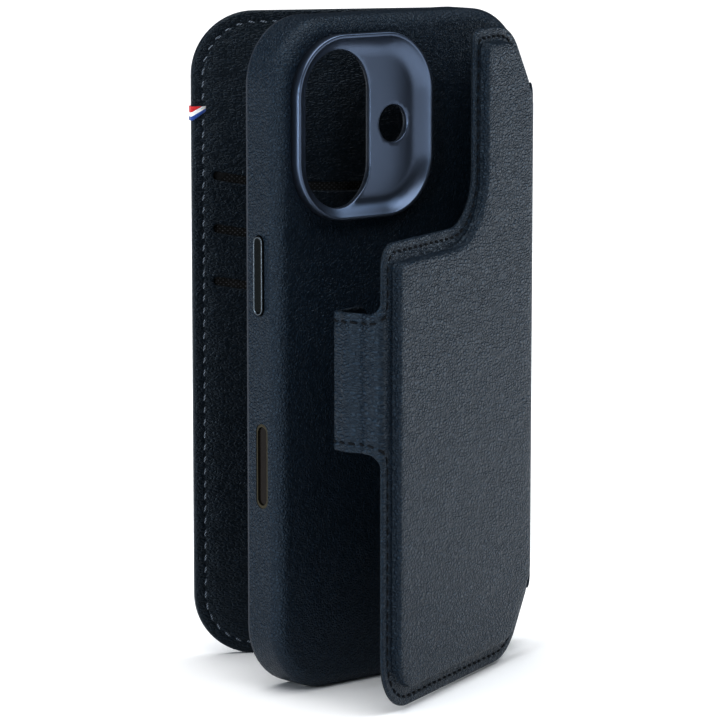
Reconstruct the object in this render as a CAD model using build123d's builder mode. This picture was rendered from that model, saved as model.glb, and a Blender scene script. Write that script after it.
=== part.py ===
from build123d import *
import os
from math import asin, cos, degrees, hypot, radians, sin

# A clip-on phone case standing upright, with the folding wallet part that its magnets hold.
# The origin is at the middle of the case's foot. +X is the spine side, -Y the camera side, +Z up.

# The phone that it holds
PHONE_W = 71.6
PHONE_H = 149.6
PHONE_T = 7.95
PHONE_R = 13.2

# Case
CASE_W = 76.0
CASE_H = 153.9
CASE_T = 11.2
CASE_R = 15.4
BACK_ROUND = 3.2
SKIN = 0.6
FIT = 0.15
LIP_T = 0.9
LIP_IN = 1.3
LINING_T = 0.4
SLIP = 0.1

# Camera surround
RING_X = -13.6
RING_Z = 128.9
RING_W = 40.7
RING_H = 42.0
RING_R = 14.0
RING_RISE = 2.6
RING_RIM = 1.0
DISH_DEPTH = 2.2
DISH_SLOPE = 3.2
LENS_X = -20.4
LENS_Z = 128.55
LENS_W = 19.4
LENS_H = 35.7
FLASH_X = -3.65
FLASH_R = 4.3
WINDOW_STEP = 0.6
LINING_STEP = 0.9

# Openings in the foot
PORT = (13.4, 6.0)
VENT = (13.0, 2.6)
VENT_X = 20.0

# Side buttons: middle height, length and width of each
POWER = (96.1, 18.0, 3.2)
CAMERA_PAD = (52.7, 19.4, 4.0)
ACTION = (119.8, 7.0, 3.0)
VOLUME_UP = (106.4, 11.0, 3.0)
VOLUME_DOWN = (92.3, 11.0, 3.0)
POWER_Y = 0.9
PAD_Y = 0.15
POWER_PROUD = 0.5
VOLUME_PROUD = 0.25
PAD_SUNK = 0.5
FLANGE = 0.6
FLANGE_T = 0.5
KEY_GAP = 0.2
PAD_GAP = 0.05
PAD_EDGE = 0.1
PAD_RIM_L = 1.4
PAD_RIM_W = 1.0
INSERT_PAD = (CAMERA_PAD[0], CAMERA_PAD[1] - PAD_RIM_L, CAMERA_PAD[2] - PAD_RIM_W)

# Magnets
MAGNET_Z = 74.5
MAGNET_OD = 50.0
MAGNET_ID = 42.0
MAGNET_COUNT = 18
MAGNET_T = 0.8
MAGNET_GAP = 1.2
ALIGN_DROP = 36.0
ALIGN_W = 6.0
ALIGN_H = 14.0

# Wallet part: the fold lines, the panels' angles as it stands, and their widths from the fold
FOLD_X = 39.0
FOLD_Y = -6.5
FLAP_ANGLE = 22.1
SPINE_ANGLE = 70.3
COVER_ANGLE = 26.3
SPINE_W = 13.9
FLAP_W = 78.9
COVER_W = 76.8
COVER_H = 153.1
FLAP_BOTTOM = 0.8
FLAP_TOP = 150.2
FOLD_R = 0.7
FOLD_JOIN = 1.4
FOLD_GAP = 0.15
FOLD_LOW = 15.0
FOLD_HIGH = 136.0

# Back panel, measured outward from its fold's middle
FLAP_IN = -0.7
FLAP_MID = -0.1
FLAP_OUT = 0.5
FIELD_OUT = 2.4
BOARD_OUT = 1.6
STRIP_W = 32.1
STEP_Z = 106.1
STEP_R = 12.0
HEEL_START = 0.5
HEEL_W = 11.5
HEEL_H = 14.7
HEEL_END_R = 14.0
HEEL_SIDE_R = 8.0
FREE_R = 12.5
STEP_OUTER_R = 5.0
STRIP_R = 2.8
PANEL_START = 1.9
FIELD_START = 5.2
FIELD_ROUND = 0.7
WALL = 1.0
BORDER = 4.6
STRIP_BORDER = 3.5

# Spine, either side of its middle
SPINE_CORE = 0.1
SPINE_FACE = 0.6

# Front cover
COVER_IN = -1.0
COVER_MID = -0.2
COVER_CORE = 0.6
COVER_OUT = 1.4
COVER_CORNER = 15.0
COVER_HINGE_R = 14.0
COVER_RIM = 4.0
PLATE_W = 12.0
PLATE_H = 28.0
PLATE_IN = 14.0
SLOT_HEIGHTS = (111.4, 99.0, 86.6)
SLOT_MIDDLE = 38.8
SLOT_HALF = 32.0
SLOT_BEND = 160.0
SLOT_GAP = 2.0
POCKET_T = 0.16

# Closure tab
TAB_ANGLE = 100.0
TAB_LOW = 59.4
TAB_HIGH = 90.6
TAB_REACH = 13.6
TAB_HOOK = 13.0
TAB_PLY = 0.55
TAB_BEND = 2.4
TAB_MAGNET_T = 0.4

# Woven tag in the cover's seam
TAG_Z = 129.4
TAG_H = 3.3
TAG_REACH = 3.9
TAG_T = 0.3

THREAD_W = 0.5
THREAD_T = 0.25
SEAM_IN = 2.1
COVER_SEAM_IN = 2.6

BACK_Y = -CASE_T / 2
FRONT_Y = CASE_T / 2
BAY_BACK = FRONT_Y - LIP_T - PHONE_T - FIT
BAY_FRONT = FRONT_Y - LIP_T
BAY_MID = (BAY_BACK + BAY_FRONT) / 2
BAY_SIDE = PHONE_W / 2 + FIT
SIDE_X = CASE_W / 2


def turned(angle):
    return Vector(cos(radians(angle)), sin(radians(angle)), 0)


FOLD_A = Vector(FOLD_X, FOLD_Y, 0)
FOLD_B = FOLD_A + turned(SPINE_ANGLE) * SPINE_W
FLAP_DIR = turned(180 + FLAP_ANGLE)
FLAP_NORMAL = turned(270 + FLAP_ANGLE)
SPINE_DIR = turned(SPINE_ANGLE)
SPINE_NORMAL = turned(SPINE_ANGLE - 90)
COVER_DIR = turned(180 - COVER_ANGLE)
COVER_NORMAL = turned(90 - COVER_ANGLE)
TAB_DIR = turned(180 + FLAP_ANGLE - TAB_ANGLE)
TAB_FOLD = FOLD_A + FLAP_DIR * (FLAP_W + 0.4) + FLAP_NORMAL * FLAP_MID


def back_plane(y):
    """Sketch plane square to Y, seen from behind the case; it extrudes towards -Y."""
    return Plane(origin=(0, y, 0), x_dir=(1, 0, 0), z_dir=(0, -1, 0))


def side_plane(x):
    """Sketch plane square to X, with Y across and Z up; it extrudes towards +X."""
    return Plane(origin=(x, 0, 0), x_dir=(0, 1, 0), z_dir=(1, 0, 0))


def flap_plane(height):
    """Across the back panel at a height over its fold; it extrudes inward."""
    return Plane(origin=FOLD_A + FLAP_NORMAL * height, x_dir=FLAP_DIR, z_dir=-FLAP_NORMAL)


def spine_plane(height):
    """Across the spine at a height over its middle; it extrudes outward."""
    return Plane(origin=FOLD_A + SPINE_NORMAL * height, x_dir=SPINE_DIR, z_dir=SPINE_NORMAL)


def cover_plane(height):
    """Across the front cover at a height over its fold; it extrudes outward."""
    return Plane(origin=FOLD_B + COVER_NORMAL * height, x_dir=COVER_DIR, z_dir=COVER_NORMAL)


def plan_plane(origin, z):
    """Level plane at height z."""
    return Plane(origin=(origin.X, origin.Y, z), x_dir=(1, 0, 0), z_dir=(0, 0, 1))


def tab_plan(z):
    """Level plane at the tab's fold, with X along the tab's side and Y away from the case."""
    return Plane(origin=(TAB_FOLD.X, TAB_FOLD.Y, z), x_dir=TAB_DIR, z_dir=(0, 0, 1))


def case_outline(inset):
    with Locations((0, CASE_H / 2)):
        RectangleRounded(CASE_W - 2 * inset, CASE_H - 2 * inset, CASE_R - inset)


def bay_outline(inset):
    with Locations((0, CASE_H / 2)):
        RectangleRounded(2 * (BAY_SIDE - inset), PHONE_H + 2 * FIT - 2 * inset, PHONE_R - inset)


def ring_outline(inset):
    with Locations((RING_X, RING_Z)):
        RectangleRounded(RING_W - 2 * inset, RING_H - 2 * inset, RING_R - inset)


def camera_window(extra):
    with Locations((LENS_X, LENS_Z)):
        SlotOverall(LENS_H + 2 * extra, LENS_W + 2 * extra, rotation=90)
    with Locations((FLASH_X, RING_Z)):
        Circle(FLASH_R + extra)


def button_outline(button, y, extra):
    middle, length, width = button
    with Locations((y, middle)):
        SlotOverall(length + 2 * extra, width + 2 * extra, rotation=90)


def foot_openings():
    with Locations((0, BAY_MID)):
        SlotOverall(*PORT)
    with Locations((-VENT_X, BAY_MID), (VENT_X, BAY_MID)):
        SlotOverall(*VENT)


def heel(inset, start):
    """How far up the fold side and along the end a sloping corner reaches, pulled in from its edges."""
    slope = hypot(HEEL_W, HEEL_H)
    up = HEEL_H + (inset * slope - HEEL_H * (start - HEEL_START)) / HEEL_W
    along = HEEL_START + HEEL_W + inset * (slope - HEEL_W) / HEEL_H
    return up, along


def flap_outline(inset, strip_inset, start):
    """The stepped outline of the back panel, pulled in from its edges."""
    left = FLAP_W - inset
    low = FLAP_BOTTOM + inset
    step = STEP_Z - inset
    strip = STRIP_W - strip_inset
    top_inset = min(inset, STRIP_BORDER)
    high = FLAP_TOP - top_inset
    low_up, low_along = heel(inset, start)
    high_up, high_along = heel(top_inset, start)
    end_r = HEEL_END_R - inset
    side_r = HEEL_SIDE_R - inset
    with BuildSketch() as outline:
        with BuildLine():
            FilletPolyline(
                (start, FLAP_BOTTOM + low_up),
                (low_along, low),
                (left, low),
                (left, step),
                (strip, step),
                (strip, high),
                (high_along, high),
                (start, FLAP_TOP - high_up),
                radius=[
                    side_r,
                    end_r,
                    FREE_R - inset,
                    STEP_OUTER_R - inset / 2,
                    STEP_R + inset,
                    STRIP_R,
                    end_r,
                    side_r,
                ],
                close=True,
            )
        make_face()
    return outline.sketch


def cover_outline(inset, start):
    hinge_r = COVER_HINGE_R - inset / 2
    with BuildSketch() as outline:
        with BuildLine():
            FilletPolyline(
                (start, inset),
                (COVER_W - inset, inset),
                (COVER_W - inset, COVER_H - inset),
                (start, COVER_H - inset),
                radius=[hinge_r, COVER_CORNER - inset, COVER_CORNER - inset, hinge_r],
                close=True,
            )
        make_face()
    return outline.sketch


def magnet_layout(outer, inner):
    """A ring of equal magnets with small gaps."""
    span = 360 / MAGNET_COUNT
    with BuildSketch(mode=Mode.PRIVATE) as ring:
        Circle(outer / 2)
        Circle(inner / 2, mode=Mode.SUBTRACT)
        with PolarLocations(outer / 2, MAGNET_COUNT, start_angle=span / 2):
            Rectangle(outer, MAGNET_GAP, mode=Mode.SUBTRACT)
    return ring.sketch


# ---------------------------------------------------------------- case

with BuildPart() as case_leather:
    with BuildSketch(back_plane(FRONT_Y - LIP_T)):
        case_outline(0)
    extrude(amount=CASE_T - LIP_T)
    fillet(case_leather.faces().sort_by(Axis.Y)[0].edges(), BACK_ROUND)
    with BuildSketch(back_plane(FRONT_Y)):
        case_outline(SKIN)
    extrude(amount=CASE_T - SKIN - BACK_ROUND + SKIN, mode=Mode.SUBTRACT)
    with BuildSketch(back_plane(BACK_Y + BACK_ROUND)):
        case_outline(SKIN)
    with BuildSketch(back_plane(BACK_Y + SKIN)):
        case_outline(BACK_ROUND)
    loft(ruled=True, mode=Mode.SUBTRACT)
    with BuildSketch(back_plane(0)):
        ring_outline(-0.05)
    extrude(amount=CASE_T, mode=Mode.SUBTRACT)
    with BuildSketch(side_plane(-CASE_W)):
        button_outline(POWER, POWER_Y, KEY_GAP)
        button_outline(CAMERA_PAD, PAD_Y, PAD_GAP)
    extrude(amount=CASE_W, mode=Mode.SUBTRACT)
    with BuildSketch(side_plane(0)):
        for button in (ACTION, VOLUME_UP, VOLUME_DOWN):
            button_outline(button, POWER_Y, KEY_GAP)
    extrude(amount=CASE_W, mode=Mode.SUBTRACT)
    with BuildSketch(Plane.XY.offset(-1)):
        foot_openings()
    extrude(amount=10, mode=Mode.SUBTRACT)

with BuildPart() as case_shell:
    with BuildSketch(back_plane(FRONT_Y - LIP_T)):
        case_outline(SKIN)
    extrude(amount=CASE_T - LIP_T - BACK_ROUND)
    with BuildSketch(back_plane(BACK_Y + BACK_ROUND)):
        case_outline(SKIN)
    with BuildSketch(back_plane(BACK_Y + SKIN)):
        case_outline(BACK_ROUND)
    loft(ruled=True)
    with BuildSketch(back_plane(FRONT_Y)):
        case_outline(0)
    extrude(amount=LIP_T)
    chamfer(case_shell.faces().sort_by(Axis.Y)[-1].edges(), 0.35)
    with BuildSketch(back_plane(BAY_FRONT)):
        bay_outline(0)
    extrude(amount=BAY_FRONT - BAY_BACK, mode=Mode.SUBTRACT)
    with BuildSketch(back_plane(FRONT_Y + 1)):
        bay_outline(LIP_IN)
    extrude(amount=LIP_T + 1, mode=Mode.SUBTRACT)
    with BuildSketch(back_plane(BAY_BACK)):
        bay_outline(1.0)
    extrude(amount=LINING_T, mode=Mode.SUBTRACT)
    with BuildSketch(back_plane(BAY_BACK - LINING_T)):
        with Locations((0, MAGNET_Z)):
            add(magnet_layout(MAGNET_OD, MAGNET_ID))
        with Locations((0, MAGNET_Z - ALIGN_DROP)):
            Rectangle(ALIGN_W, ALIGN_H)
    extrude(amount=MAGNET_T, mode=Mode.SUBTRACT)
    with BuildSketch(back_plane(0)):
        camera_window(WINDOW_STEP)
    extrude(amount=CASE_T, mode=Mode.SUBTRACT)
    with BuildSketch(side_plane(-CASE_W)):
        button_outline(POWER, POWER_Y, KEY_GAP)
        button_outline(CAMERA_PAD, PAD_Y, PAD_GAP)
    extrude(amount=CASE_W, mode=Mode.SUBTRACT)
    with BuildSketch(side_plane(-BAY_SIDE - FLANGE_T - PAD_EDGE)):
        button_outline(POWER, POWER_Y, FLANGE + KEY_GAP)
    extrude(amount=10, mode=Mode.SUBTRACT)
    with BuildSketch(side_plane(0)):
        for button in (ACTION, VOLUME_UP, VOLUME_DOWN):
            button_outline(button, POWER_Y, KEY_GAP)
    extrude(amount=CASE_W, mode=Mode.SUBTRACT)
    with BuildSketch(side_plane(BAY_SIDE - 10)):
        for button in (ACTION, VOLUME_UP, VOLUME_DOWN):
            button_outline(button, POWER_Y, FLANGE + KEY_GAP)
    extrude(amount=10 + FLANGE_T + PAD_EDGE, mode=Mode.SUBTRACT)
    with BuildSketch(Plane.XY.offset(-1)):
        foot_openings()
    extrude(amount=10, mode=Mode.SUBTRACT)

with BuildPart() as case_lining:
    with BuildSketch(back_plane(BAY_BACK)):
        bay_outline(1.1)
        with BuildSketch(mode=Mode.PRIVATE) as hole:
            camera_window(LINING_STEP)
        add(hole.sketch, mode=Mode.SUBTRACT)
    extrude(amount=LINING_T)

with BuildPart() as case_magnets:
    with BuildSketch(back_plane(BAY_BACK - LINING_T)):
        with Locations((0, MAGNET_Z)):
            add(magnet_layout(MAGNET_OD, MAGNET_ID))
    extrude(amount=MAGNET_T)

with BuildPart() as case_align_magnet:
    with BuildSketch(back_plane(BAY_BACK - LINING_T)):
        with Locations((0, MAGNET_Z - ALIGN_DROP)):
            Rectangle(ALIGN_W, ALIGN_H)
    extrude(amount=MAGNET_T)

with BuildPart() as camera_ring:
    with BuildSketch(back_plane(BACK_Y + SKIN)):
        ring_outline(0)
    extrude(amount=RING_RISE + SKIN)
    fillet(camera_ring.faces().sort_by(Axis.Y)[0].edges(), 0.35)
    with BuildSketch(back_plane(BACK_Y - RING_RISE)):
        ring_outline(RING_RIM)
    with BuildSketch(back_plane(BACK_Y - RING_RISE + DISH_DEPTH)):
        ring_outline(RING_RIM + DISH_SLOPE)
    loft(ruled=True, mode=Mode.SUBTRACT)
    with BuildSketch(back_plane(0)):
        camera_window(0)
    extrude(amount=CASE_T, mode=Mode.SUBTRACT)


def side_button(button, y, sign, proud):
    """A stadium cap through the wall, with a flange that keeps it in."""
    with BuildPart() as cap:
        with BuildSketch(side_plane(sign * BAY_SIDE)):
            button_outline(button, y, 0)
        extrude(amount=sign * (SIDE_X + proud - BAY_SIDE))
        fillet(cap.faces().sort_by(Axis.X)[0 if sign < 0 else -1].edges(), 0.2)
        with BuildSketch(side_plane(sign * BAY_SIDE)):
            button_outline(button, y, FLANGE)
        extrude(amount=sign * FLANGE_T)
    return cap.part


with BuildPart() as power_button:
    add(side_button(POWER, POWER_Y, -1, POWER_PROUD))

with BuildPart() as action_button:
    add(side_button(ACTION, POWER_Y, 1, VOLUME_PROUD))

with BuildPart() as volume_up_button:
    add(side_button(VOLUME_UP, POWER_Y, 1, VOLUME_PROUD))

with BuildPart() as volume_down_button:
    add(side_button(VOLUME_DOWN, POWER_Y, 1, VOLUME_PROUD))

with BuildPart() as camera_pad_frame:
    with BuildSketch(side_plane(-SIDE_X + PAD_EDGE)):
        button_outline(CAMERA_PAD, PAD_Y, 0)
        with Locations((PAD_Y, CAMERA_PAD[0])):
            SlotOverall(INSERT_PAD[1], INSERT_PAD[2], rotation=90, mode=Mode.SUBTRACT)
    extrude(amount=SIDE_X - BAY_SIDE - 2 * PAD_EDGE)

with BuildPart() as camera_control_pad:
    with BuildSketch(side_plane(-SIDE_X + PAD_SUNK)):
        button_outline(INSERT_PAD, PAD_Y, -SLIP)
    extrude(amount=SIDE_X - PAD_SUNK - BAY_SIDE)

# ---------------------------------------------------------------- back panel

with BuildPart() as flap_lining:
    with BuildSketch(flap_plane(FLAP_MID)):
        add(flap_outline(0, 0, PANEL_START))
    extrude(amount=FLAP_MID - FLAP_IN)

with BuildPart() as flap_leather:
    with BuildSketch(flap_plane(FLAP_OUT)):
        add(flap_outline(0, 0, PANEL_START))
    extrude(amount=FLAP_OUT - FLAP_MID)
    with BuildSketch(flap_plane(FIELD_OUT)):
        add(flap_outline(BORDER, STRIP_BORDER, FIELD_START))
    extrude(amount=FIELD_OUT - FLAP_MID)
    field_edges = flap_leather.faces().sort_by(Axis((0, 0, 0), FLAP_NORMAL))[-1].edges()
    fillet(field_edges, FIELD_ROUND)
    with BuildSketch(flap_plane(BOARD_OUT)):
        add(flap_outline(BORDER + WALL, STRIP_BORDER + WALL, FIELD_START + WALL))
    extrude(amount=BOARD_OUT - FLAP_MID, mode=Mode.SUBTRACT)
    with BuildSketch(plan_plane(FOLD_A, FOLD_LOW)):
        Circle(FOLD_R)
    extrude(amount=FOLD_HIGH - FOLD_LOW)
    with BuildSketch(flap_plane(FLAP_OUT)):
        with Locations((PANEL_START + SLIP - FOLD_JOIN / 2, (FOLD_LOW + FOLD_HIGH) / 2)):
            Rectangle(FOLD_JOIN, FOLD_HIGH - FOLD_LOW)
    extrude(amount=FLAP_OUT - FLAP_MID)

with BuildPart() as flap_board:
    with BuildSketch(flap_plane(BOARD_OUT)):
        add(flap_outline(BORDER + WALL + SLIP, STRIP_BORDER + WALL + SLIP, FIELD_START + WALL + SLIP))
        with Locations((FOLD_X, MAGNET_Z)):
            add(magnet_layout(MAGNET_OD + 2 * SLIP, MAGNET_ID - 2 * SLIP), mode=Mode.SUBTRACT)
        with Locations((FOLD_X, MAGNET_Z - ALIGN_DROP)):
            Rectangle(ALIGN_W + 2 * SLIP, ALIGN_H + 2 * SLIP, mode=Mode.SUBTRACT)
    extrude(amount=BOARD_OUT - FLAP_MID)

with BuildPart() as flap_magnets:
    with BuildSketch(flap_plane(FLAP_MID + MAGNET_T)):
        with Locations((FOLD_X, MAGNET_Z)):
            add(magnet_layout(MAGNET_OD, MAGNET_ID))
    extrude(amount=MAGNET_T)

with BuildPart() as flap_align_magnet:
    with BuildSketch(flap_plane(FLAP_MID + MAGNET_T)):
        with Locations((FOLD_X, MAGNET_Z - ALIGN_DROP)):
            Rectangle(ALIGN_W, ALIGN_H)
    extrude(amount=MAGNET_T)

with BuildPart() as flap_stitching:
    with BuildSketch(flap_plane(FLAP_OUT + THREAD_T)):
        add(flap_outline(SEAM_IN, SEAM_IN, 4.0))
        add(flap_outline(SEAM_IN + THREAD_W, SEAM_IN + THREAD_W, 4.0 - THREAD_W), mode=Mode.SUBTRACT)
    extrude(amount=THREAD_T)

# ---------------------------------------------------------------- spine

SPINE_START = FOLD_R + FOLD_GAP


def spine_layer(low, high, inset):
    """A strip between the two folds, hollowed at both ends to clear their beads."""
    with BuildPart() as strip:
        with BuildSketch(spine_plane(low)):
            with Locations((SPINE_W / 2, (FOLD_LOW + FOLD_HIGH) / 2)):
                Rectangle(SPINE_W - 2 * inset, FOLD_HIGH - FOLD_LOW - 2 * inset)
        extrude(amount=high - low)
        for fold in (FOLD_A, FOLD_B):
            with BuildSketch(plan_plane(fold, FOLD_LOW - 1)):
                Circle(SPINE_START)
            extrude(amount=FOLD_HIGH - FOLD_LOW + 2, mode=Mode.SUBTRACT)
    return strip.part


with BuildPart() as spine_leather:
    add(spine_layer(SPINE_CORE, SPINE_FACE, 0.5))

with BuildPart() as spine_board:
    add(spine_layer(-SPINE_CORE, SPINE_CORE, 2.0))

with BuildPart() as spine_lining:
    add(spine_layer(-SPINE_FACE, -SPINE_CORE, 0.5))

# ---------------------------------------------------------------- front cover

with BuildPart() as cover_leather:
    with BuildSketch(cover_plane(COVER_MID)):
        add(cover_outline(0, PANEL_START))
    extrude(amount=COVER_OUT - COVER_MID)
    outer_edges = cover_leather.faces().sort_by(Axis((0, 0, 0), COVER_NORMAL))[-1].edges()
    fillet(outer_edges, 0.4)
    with BuildSketch(cover_plane(COVER_MID)):
        add(cover_outline(COVER_RIM, COVER_RIM + 1))
    extrude(amount=COVER_CORE - COVER_MID, mode=Mode.SUBTRACT)
    with BuildSketch(plan_plane(FOLD_B, FOLD_LOW)):
        Circle(FOLD_R)
    extrude(amount=FOLD_HIGH - FOLD_LOW)
    with BuildSketch(cover_plane(COVER_MID)):
        with Locations((PANEL_START + SLIP - FOLD_JOIN / 2, (FOLD_LOW + FOLD_HIGH) / 2)):
            Rectangle(FOLD_JOIN, FOLD_HIGH - FOLD_LOW)
    extrude(amount=COVER_CORE - COVER_MID)

with BuildPart() as cover_board:
    with BuildSketch(cover_plane(COVER_MID + 3 * POCKET_T)):
        add(cover_outline(COVER_RIM + SLIP, COVER_RIM + 1 + SLIP))
        with Locations((COVER_W - PLATE_IN, (TAB_LOW + TAB_HIGH) / 2)):
            Rectangle(PLATE_W + 2 * SLIP, PLATE_H + 2 * SLIP, mode=Mode.SUBTRACT)
    extrude(amount=COVER_CORE - COVER_MID - 3 * POCKET_T)

with BuildPart() as cover_plate:
    with BuildSketch(cover_plane(COVER_MID + 3 * POCKET_T)):
        with Locations((COVER_W - PLATE_IN, (TAB_LOW + TAB_HIGH) / 2)):
            Rectangle(PLATE_W, PLATE_H)
    extrude(amount=COVER_CORE - COVER_MID - 3 * POCKET_T)

SLOT_SWEEP = degrees(asin(SLOT_HALF / SLOT_BEND))


def slot_outline(height, gap):
    """A card slot that dips a little in the middle."""
    with BuildSketch() as slot:
        with BuildLine(mode=Mode.PRIVATE) as curve:
            CenterArc((SLOT_MIDDLE, height + SLOT_BEND), SLOT_BEND, 270 - SLOT_SWEEP, 2 * SLOT_SWEEP)
        SlotArc(curve.wire(), gap)
    return slot.sketch


with BuildPart() as cover_inner_leather:
    with BuildSketch(cover_plane(COVER_IN)):
        add(cover_outline(0, PANEL_START))
        for height in SLOT_HEIGHTS:
            add(slot_outline(height, SLOT_GAP), mode=Mode.SUBTRACT)
    extrude(amount=COVER_MID - COVER_IN)


def pocket_layer(index, height):
    """Mesh fabric behind a slot, which carries the card from below."""
    with BuildPart() as pocket:
        with BuildSketch(cover_plane(COVER_MID + index * POCKET_T)):
            with Locations((SLOT_MIDDLE, (height + 12) / 2)):
                RectangleRounded(2 * SLOT_HALF + 3, height - 4, 7)
        extrude(amount=POCKET_T)
    return pocket.part


with BuildPart() as pocket_mesh_low:
    add(pocket_layer(0, SLOT_HEIGHTS[2]))

with BuildPart() as pocket_mesh_middle:
    add(pocket_layer(1, SLOT_HEIGHTS[1]))

with BuildPart() as pocket_mesh_high:
    add(pocket_layer(2, SLOT_HEIGHTS[0]))

with BuildPart() as cover_stitching:
    with BuildSketch(cover_plane(COVER_IN - THREAD_T)):
        add(cover_outline(COVER_SEAM_IN, 4.0))
        add(cover_outline(COVER_SEAM_IN + THREAD_W, 4.0 + THREAD_W), mode=Mode.SUBTRACT)
    extrude(amount=THREAD_T)

with BuildPart() as ribbon_tag:
    with BuildSketch(cover_plane(COVER_IN - THREAD_T - TAG_T)):
        with Locations((COVER_W - TAG_REACH / 2 + TAG_T / 2, TAG_Z)):
            Rectangle(TAG_REACH + TAG_T, TAG_H)
    extrude(amount=COVER_OUT - COVER_IN + THREAD_T + 2 * TAG_T)
    with BuildSketch(cover_plane(COVER_IN - THREAD_T)):
        with Locations((COVER_W - TAG_REACH, TAG_Z)):
            Rectangle(2 * TAG_REACH + 0.02, TAG_H + 2)
    extrude(amount=COVER_OUT - COVER_IN + THREAD_T, mode=Mode.SUBTRACT)

# ---------------------------------------------------------------- closure tab


def tab_layer(outward, ply, hook_drop, low, high):
    """One ply of the tab: along its side, round the bend and over the front."""
    with BuildPart() as layer:
        with BuildSketch(tab_plan(low)):
            with BuildLine() as path:
                FilletPolyline(
                    (0.7, outward),
                    (TAB_REACH - hook_drop, outward),
                    (TAB_REACH - hook_drop, -TAB_HOOK),
                    radius=TAB_BEND - hook_drop,
                )
            trace(path.line, line_width=ply)
        extrude(amount=high - low)
    return layer.part


with BuildPart() as tab_leather:
    add(tab_layer(TAB_PLY / 2, TAB_PLY, TAB_PLY / 2, TAB_LOW, TAB_HIGH))

with BuildPart() as tab_lining:
    add(tab_layer(-TAB_PLY / 2, TAB_PLY, 1.5 * TAB_PLY, TAB_LOW, TAB_HIGH))
    with BuildSketch(tab_plan(TAB_LOW + 3)):
        with Locations((TAB_REACH - 1.1 * TAB_PLY - TAB_MAGNET_T / 2, -TAB_HOOK + 4.5)):
            Rectangle(TAB_MAGNET_T + 0.1, 7.2)
    extrude(amount=TAB_HIGH - TAB_LOW - 6, mode=Mode.SUBTRACT)

with BuildPart() as tab_magnet:
    with BuildSketch(tab_plan(TAB_LOW + 3.1)):
        with Locations((TAB_REACH - 1.1 * TAB_PLY - TAB_MAGNET_T / 2, -TAB_HOOK + 4.5)):
            Rectangle(TAB_MAGNET_T, 7.0)
    extrude(amount=TAB_HIGH - TAB_LOW - 6.2)


NODES = {
    "case_leather": case_leather,
    "case_shell": case_shell,
    "case_lining": case_lining,
    "case_magnets": case_magnets,
    "case_align_magnet": case_align_magnet,
    "camera_ring": camera_ring,
    "power_button": power_button,
    "camera_pad_frame": camera_pad_frame,
    "camera_control_pad": camera_control_pad,
    "action_button": action_button,
    "volume_up_button": volume_up_button,
    "volume_down_button": volume_down_button,
    "flap_leather": flap_leather,
    "flap_board": flap_board,
    "flap_lining": flap_lining,
    "flap_magnets": flap_magnets,
    "flap_align_magnet": flap_align_magnet,
    "flap_stitching": flap_stitching,
    "spine_leather": spine_leather,
    "spine_board": spine_board,
    "spine_lining": spine_lining,
    "cover_leather": cover_leather,
    "cover_board": cover_board,
    "cover_plate": cover_plate,
    "cover_inner_leather": cover_inner_leather,
    "pocket_mesh_low": pocket_mesh_low,
    "pocket_mesh_middle": pocket_mesh_middle,
    "pocket_mesh_high": pocket_mesh_high,
    "cover_stitching": cover_stitching,
    "ribbon_tag": ribbon_tag,
    "tab_leather": tab_leather,
    "tab_lining": tab_lining,
    "tab_magnet": tab_magnet,
}

os.makedirs("parts", exist_ok=True)
for node_name, node in NODES.items():
    node.part.label = node_name
    export_step(node.part, f"parts/{node_name}.step")
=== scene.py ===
import math
import random

import bmesh
import bpy
import numpy as np
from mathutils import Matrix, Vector
from mathutils.geometry import delaunay_2d_cdt


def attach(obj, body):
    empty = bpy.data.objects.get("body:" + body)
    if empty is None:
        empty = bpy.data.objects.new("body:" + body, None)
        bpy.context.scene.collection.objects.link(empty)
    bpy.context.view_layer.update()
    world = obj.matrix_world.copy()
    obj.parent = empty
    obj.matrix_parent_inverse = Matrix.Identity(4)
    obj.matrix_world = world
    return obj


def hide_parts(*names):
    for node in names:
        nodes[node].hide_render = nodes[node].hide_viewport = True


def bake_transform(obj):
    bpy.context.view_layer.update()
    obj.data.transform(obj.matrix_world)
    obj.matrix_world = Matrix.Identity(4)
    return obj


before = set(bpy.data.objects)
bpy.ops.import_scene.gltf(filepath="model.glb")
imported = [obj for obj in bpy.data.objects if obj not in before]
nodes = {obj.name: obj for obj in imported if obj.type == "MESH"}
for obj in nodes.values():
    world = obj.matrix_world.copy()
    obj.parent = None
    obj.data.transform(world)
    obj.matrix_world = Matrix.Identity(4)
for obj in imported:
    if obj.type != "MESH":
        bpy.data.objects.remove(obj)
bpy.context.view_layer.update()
scene = bpy.context.scene
MM = 0.001
random.seed(7)

# ---------------------------------------------------------------- frame, in millimetres

# How far each panel is turned at rest, in degrees
FLAP_ANGLE = 22.1
SPINE_ANGLE = 70.3
COVER_ANGLE = 26.3
TAB_ANGLE = 100.0

SPINE_W = 13.9
CASE_HALF_W = 38.0
CASE_BACK = -5.6


def unit(angle):
    """A level direction, by its angle in degrees."""
    return np.array([math.cos(math.radians(angle)), math.sin(math.radians(angle)), 0.0])


RIGHT = np.array([1.0, 0.0, 0.0])
FRONT = np.array([0.0, 1.0, 0.0])
UP = np.array([0.0, 0.0, 1.0])
FOLD_A = np.array([39.0, -6.5, 0.0])
FOLD_B = FOLD_A + unit(SPINE_ANGLE) * SPINE_W


class Plane:
    """A panel's own axes: s across from its fold, z up, h outward."""

    def __init__(self, origin, across, out):
        self.origin, self.across, self.out = origin, across, out

    def __call__(self, flat):
        s, z, h = flat.T
        offset = np.outer(s, self.across) + np.outer(z, UP)
        return self.origin + offset + np.outer(h, self.out)


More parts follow.
